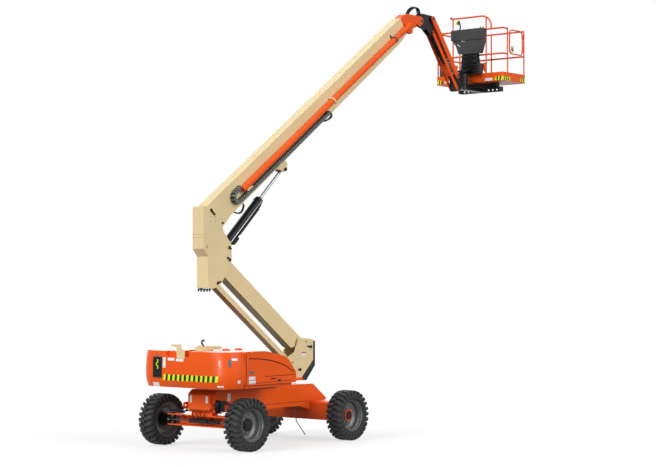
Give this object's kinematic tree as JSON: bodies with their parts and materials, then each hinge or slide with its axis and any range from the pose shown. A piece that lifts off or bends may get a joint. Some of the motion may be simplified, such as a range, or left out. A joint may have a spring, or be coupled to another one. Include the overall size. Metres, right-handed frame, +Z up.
{
  "type": "articulated boom lift",
  "caption": "Self-propelled articulated boom lift: four-wheel chassis, slewing turntable, folding tower, telescopic main boom, jib and railed work platform.",
  "frame": {"origin": "middle of the machine's footprint box, on the ground", "axes": "+X from the tail towards the platform, +Y to the machine's left, +Z up"},
  "size_m": [10.079, 2.4694, 8.9189],
  "materials": {
    "orange_paint": "gloss enamel",
    "cream_paint": "satin enamel",
    "black_paint": "satin black",
    "chromed_rod": "polished chrome",
    "engine_grey": "painted casting",
    "tyre_rubber": "worn rubber",
    "rim_grey": "dark grey enamel",
    "track_plastic": "moulded black",
    "console_plastic": "moulded dark grey"
  },
  "bodies": {
    "chassis": {"chassis_frame": "orange_paint", "steer_axle": "orange_paint", "drive_axle": "orange_paint", "slew_bearing": "black_paint", "tie_down_lugs": "orange_paint", "travel_manifold": "black_paint", "earthing_rod": "black_paint", "steering_cylinder": "black_paint"},
    "steering_rod": {"steering_rod": "chromed_rod"},
    "knuckle_left": {"knuckle_left": "black_paint"},
    "knuckle_right": {"knuckle_right": "black_paint"},
    "wheel_steer_left": {"tyre_steer_left": "tyre_rubber", "rim_steer_left": "rim_grey"},
    "wheel_steer_right": {"tyre_steer_right": "tyre_rubber", "rim_steer_right": "rim_grey"},
    "wheel_drive_left": {"tyre_drive_left": "tyre_rubber", "rim_drive_left": "rim_grey"},
    "wheel_drive_right": {"tyre_drive_right": "tyre_rubber", "rim_drive_right": "rim_grey"},
    "turntable": {"turntable_deck": "orange_paint", "counterweight": "orange_paint", "tower_mount": "cream_paint", "mount_bumper": "black_paint", "engine": "engine_grey", "tanks": "engine_grey", "tail_bracket": "cream_paint", "tower_rest": "cream_paint"},
    "hood_left": {"hood_left": "orange_paint"},
    "hood_right": {"hood_right": "orange_paint"},
    "tower_boom": {"tower_boom": "cream_paint"},
    "tower_link": {"tower_link": "cream_paint"},
    "upright": {"upright": "cream_paint"},
    "main_boom": {"base_boom": "cream_paint", "power_track": "track_plastic"},
    "lift_barrel": {"lift_barrel": "black_paint"},
    "lift_rod": {"lift_rod": "chromed_rod"},
    "fly": {"fly_boom": "orange_paint", "side_tube": "orange_paint"},
    "jib_head": {"jib_head": "black_paint"},
    "jib": {"jib_boom": "orange_paint"},
    "jib_link": {"jib_link": "orange_paint"},
    "jib_barrel": {"jib_barrel": "black_paint"},
    "jib_rod": {"jib_rod": "chromed_rod"},
    "rotator": {"rotator_mount": "black_paint"},
    "platform": {"platform_support": "black_paint", "platform_floor": "orange_paint", "platform_rails": "orange_paint", "platform_console": "console_plastic", "tool_box": "console_plastic", "socket_box": "console_plastic"},
    "gate": {"gate": "orange_paint"}
  },
  "joints": [
    {"name": "steer_left", "type": "hinge", "parent": "chassis", "child": "knuckle_left", "pos_m": [-4.4205, 0.78, 0.48], "axis": [0, 0, 1], "range_deg": [-35, 35]},
    {"name": "steer_right", "type": "hinge", "parent": "chassis", "child": "knuckle_right", "pos_m": [-4.4205, -0.78, 0.48], "axis": [0, 0, 1], "range_deg": [-35, 35]},
    {"name": "steer_stroke", "type": "slide", "parent": "chassis", "child": "steering_rod", "axis": [0, 1, 0], "range_m": [-0.08, 0.08]},
    {"name": "spin_steer_left", "type": "hinge", "parent": "knuckle_left", "child": "wheel_steer_left", "pos_m": [-4.4205, 1.063, 0.48], "axis": [0, 1, 0], "continuous": true},
    {"name": "spin_steer_right", "type": "hinge", "parent": "knuckle_right", "child": "wheel_steer_right", "pos_m": [-4.4205, -1.063, 0.48], "axis": [0, 1, 0], "continuous": true},
    {"name": "spin_drive_left", "type": "hinge", "parent": "chassis", "child": "wheel_drive_left", "pos_m": [-1.5345, 1.063, 0.48], "axis": [0, 1, 0], "continuous": true},
    {"name": "spin_drive_right", "type": "hinge", "parent": "chassis", "child": "wheel_drive_right", "pos_m": [-1.5345, -1.063, 0.48], "axis": [0, 1, 0], "continuous": true},
    {"name": "slew", "type": "hinge", "parent": "chassis", "child": "turntable", "pos_m": [-2.9775, 0, 1.13], "axis": [0, 0, 1], "range_deg": [-200, 200]},
    {"name": "open_hood_left", "type": "hinge", "parent": "turntable", "child": "hood_left", "pos_m": [-4.0475, 0.345, 1.806], "axis": [1, 0, 0], "range_deg": [0, 60]},
    {"name": "open_hood_right", "type": "hinge", "parent": "turntable", "child": "hood_right", "pos_m": [-4.0475, -0.345, 1.806], "axis": [-1, 0, 0], "range_deg": [0, 60]},
    {"name": "raise_tower", "type": "hinge", "parent": "turntable", "child": "tower_boom", "pos_m": [-1.5545, 0, 1.771], "axis": [0, 1, 0], "range_deg": [-31, 32]},
    {"name": "tower_link_turn", "type": "hinge", "parent": "turntable", "child": "tower_link", "pos_m": [-1.8795, 0, 1.339], "axis": [0, 1, 0], "range_deg": [-31, 32]},
    {"name": "upright_level", "type": "hinge", "parent": "tower_boom", "child": "upright", "pos_m": [-3.8835, 0, 3.452], "axis": [0, 1, 0], "range_deg": [-32, 31]},
    {"name": "raise_boom", "type": "hinge", "parent": "upright", "child": "main_boom", "pos_m": [-4.3875, 0, 4.36], "axis": [0, -1, 0], "range_deg": [-35, 36]},
    {"name": "lift_barrel_turn", "type": "hinge", "parent": "upright", "child": "lift_barrel", "pos_m": [-3.8975, 0, 3.683], "axis": [0, -1, 0], "range_deg": [-34.3, 35.3]},
    {"name": "lift_stroke", "type": "slide", "parent": "lift_barrel", "child": "lift_rod", "axis": [0.735, 0, 0.6781], "range_m": [-0.475, 0.49]},
    {"name": "extend_fly", "type": "slide", "parent": "main_boom", "child": "fly", "axis": [0.8192, 0, 0.5736], "range_m": [0, 4.3]},
    {"name": "head_level", "type": "hinge", "parent": "fly", "child": "jib_head", "pos_m": [2.2375, 0, 8.6], "axis": [0, -1, 0], "range_deg": [-36, 35]},
    {"name": "raise_jib", "type": "hinge", "parent": "jib_head", "child": "jib", "pos_m": [2.6225, 0, 8.68], "axis": [0, -1, 0], "range_deg": [-18, 122]},
    {"name": "jib_link_turn", "type": "hinge", "parent": "jib_head", "child": "jib_link", "pos_m": [2.6525, 0, 8.39], "axis": [0, -1, 0], "range_deg": [-18, 122]},
    {"name": "jib_barrel_turn", "type": "hinge", "parent": "jib_head", "child": "jib_barrel", "pos_m": [2.5875, 0, 8.54], "axis": [0, -1, 0], "range_deg": [-20, 122]},
    {"name": "jib_stroke", "type": "slide", "parent": "jib_barrel", "child": "jib_rod", "axis": [0.6968, 0, -0.7173], "range_m": [-0.05, 0.25]},
    {"name": "rotator_level", "type": "hinge", "parent": "jib", "child": "rotator", "pos_m": [3.5225, 0, 7.53], "axis": [0, -1, 0], "range_deg": [-122, 18]},
    {"name": "rotate_platform", "type": "hinge", "parent": "rotator", "child": "platform", "pos_m": [3.8725, 0, 7.37], "axis": [0, 0, 1], "range_deg": [-90, 90]},
    {"name": "open_gate", "type": "hinge", "parent": "platform", "child": "gate", "pos_m": [4.9805, -0.867, 8.3], "axis": [0, 0, -1], "range_deg": [0, 85]}
  ],
  "couplings": [
    {"joint": "steer_right", "follows": "steer_left", "ratio": 1},
    {"joint": "steer_stroke", "follows": "steer_left", "m_per_rad": -0.12},
    {"joint": "tower_link_turn", "follows": "raise_tower", "ratio": 1},
    {"joint": "upright_level", "follows": "raise_tower", "ratio": -1},
    {"joint": "lift_barrel_turn", "follows": "raise_boom", "ratio": 0.98},
    {"joint": "lift_stroke", "follows": "raise_boom", "m_per_rad": 0.775},
    {"joint": "head_level", "follows": "raise_boom", "ratio": -1},
    {"joint": "jib_link_turn", "follows": "raise_jib", "ratio": 1},
    {"joint": "jib_barrel_turn", "follows": "raise_jib", "ratio": 0.96},
    {"joint": "jib_stroke", "follows": "raise_jib", "m_per_rad": 0.1024},
    {"joint": "rotator_level", "follows": "raise_jib", "ratio": -1}
  ]
}
